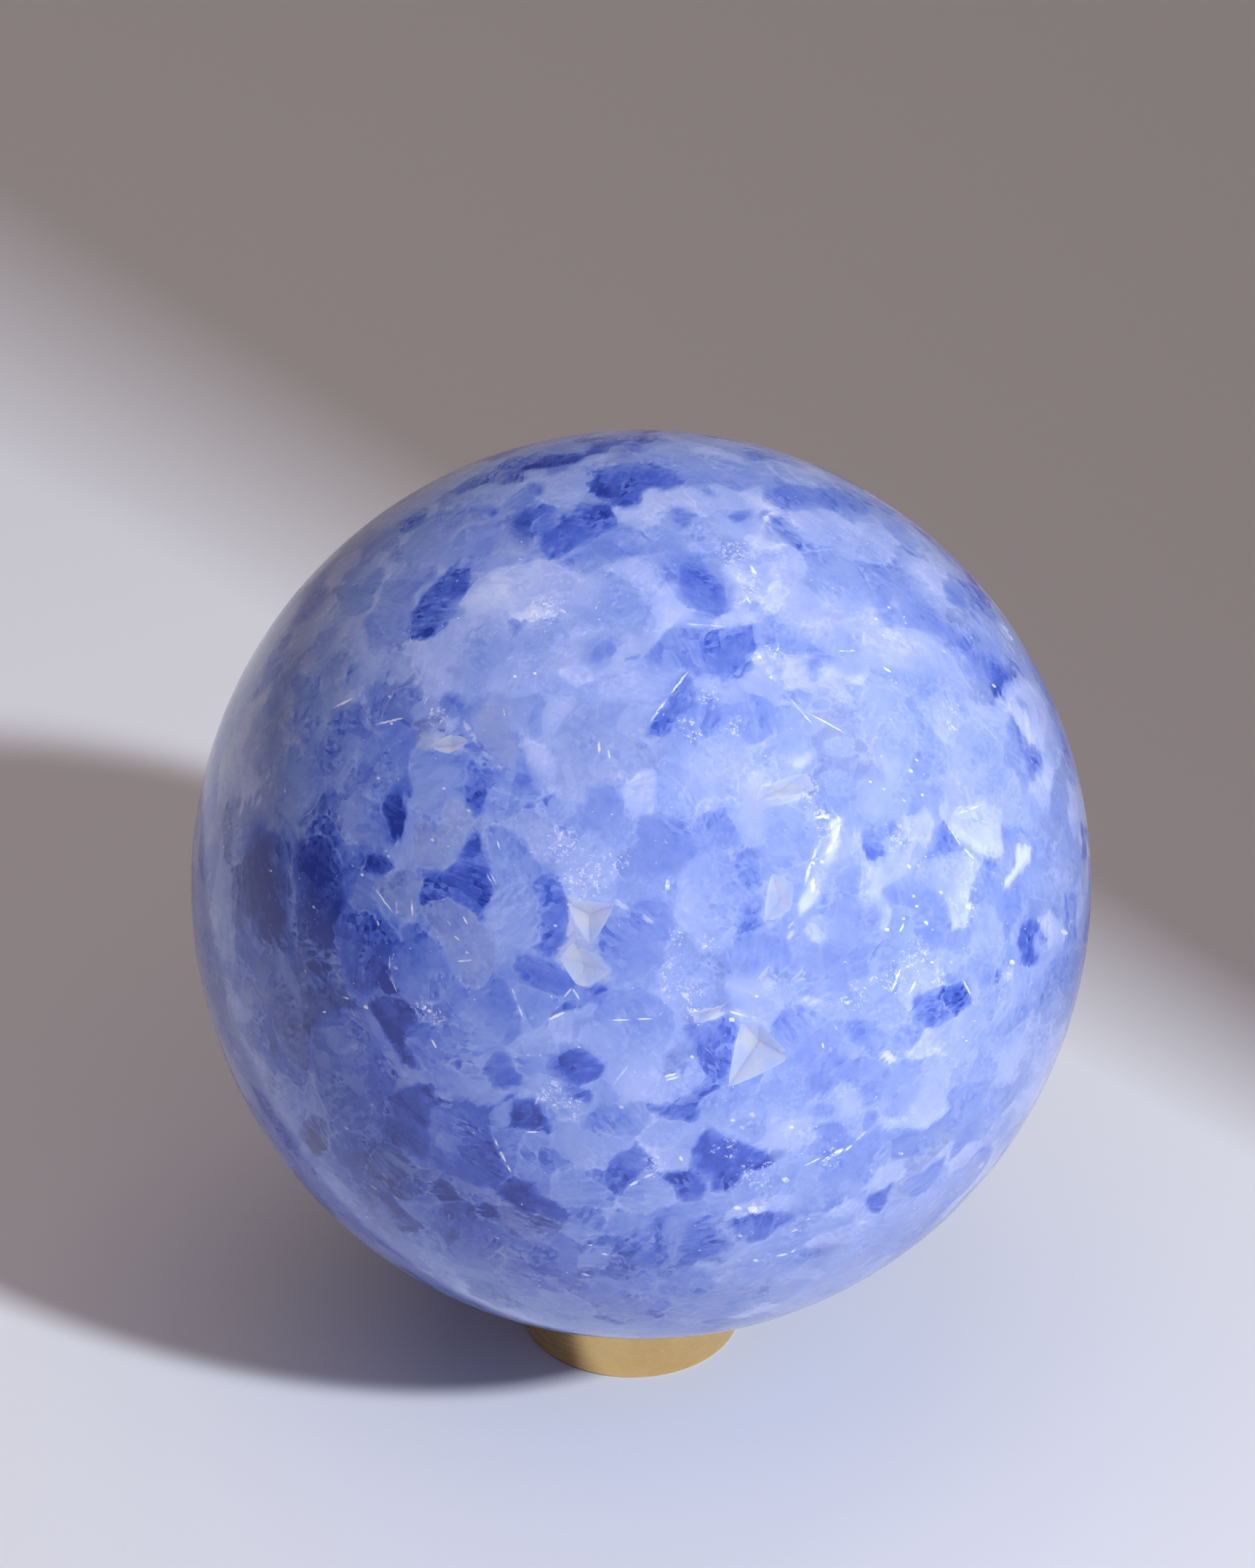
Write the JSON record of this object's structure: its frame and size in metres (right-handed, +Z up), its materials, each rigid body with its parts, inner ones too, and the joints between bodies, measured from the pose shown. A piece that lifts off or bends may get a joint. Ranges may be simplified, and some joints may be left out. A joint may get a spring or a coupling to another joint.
{
  "type": "calcite sphere on a ring stand",
  "caption": "Polished ball of blue calcite with small cleavage pits, resting on a short brass ring stand.",
  "frame": {"origin": "middle of the ring stand's foot, on the surface that the object stands on", "axes": "+Z up through the middle of the ball; -Y is the side that faces the viewer, with the largest cleavage pit"},
  "size_m": [0.078, 0.078, 0.0862],
  "materials": {
    "blue_calcite": "polished crystalline blue calcite with milky and deep blue grains",
    "polished_brass": "turned and polished brass"
  },
  "bodies": {
    "root": {"calcite_sphere": "blue_calcite", "brass_ring": "polished_brass"}
  },
  "joints": []
}
